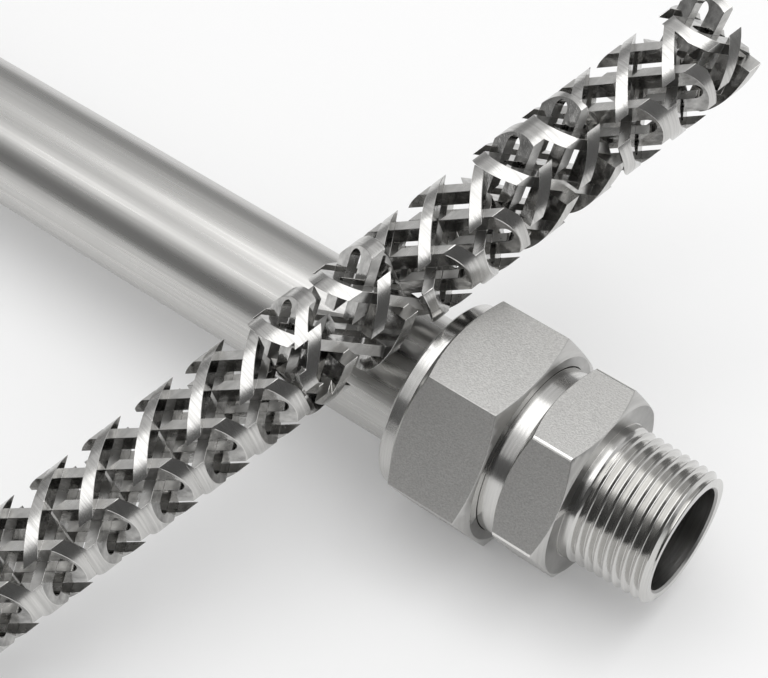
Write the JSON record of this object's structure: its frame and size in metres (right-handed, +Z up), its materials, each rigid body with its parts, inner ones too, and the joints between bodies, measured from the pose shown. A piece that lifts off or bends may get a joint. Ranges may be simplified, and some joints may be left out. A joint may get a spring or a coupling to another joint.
{
  "type": "static mixer",
  "caption": "In-line tube static mixer with compression fittings and tapered male pipe threads, its crossed-plate mixing string drawn out and leaning across the tube.",
  "frame": {"origin": "centre of the outlet fitting's end face, on the tube's axis", "axes": "+X along the tube and out of the outlet, +Z up; the part lies on the ground on a flat of each nut"},
  "size_m": [0.2926, 0.2084, 0.0699],
  "materials": {
    "tube_steel": "drawn tube, lightly brushed along its length",
    "nut_steel": "bright drawn hexagon with turned ring and chamfers",
    "fitting_steel": "machined and turned, fine grain on the flats",
    "ferrule_steel": "turned",
    "mixing_steel": "satin plates, rims turned bright"
  },
  "bodies": {
    "root": {"tube": "tube_steel", "outlet_nut": "nut_steel", "outlet_body": "fitting_steel", "outlet_front_ferrule": "ferrule_steel", "outlet_back_ferrule": "ferrule_steel", "inlet_nut": "nut_steel", "inlet_body": "fitting_steel", "inlet_front_ferrule": "ferrule_steel", "inlet_back_ferrule": "ferrule_steel", "mixing_element_01": "mixing_steel", "mixing_element_02": "mixing_steel", "mixing_element_03": "mixing_steel", "mixing_element_04": "mixing_steel", "mixing_element_05": "mixing_steel", "mixing_element_06": "mixing_steel", "mixing_element_07": "mixing_steel", "mixing_element_08": "mixing_steel", "mixing_element_09": "mixing_steel", "mixing_element_10": "mixing_steel"}
  },
  "joints": []
}
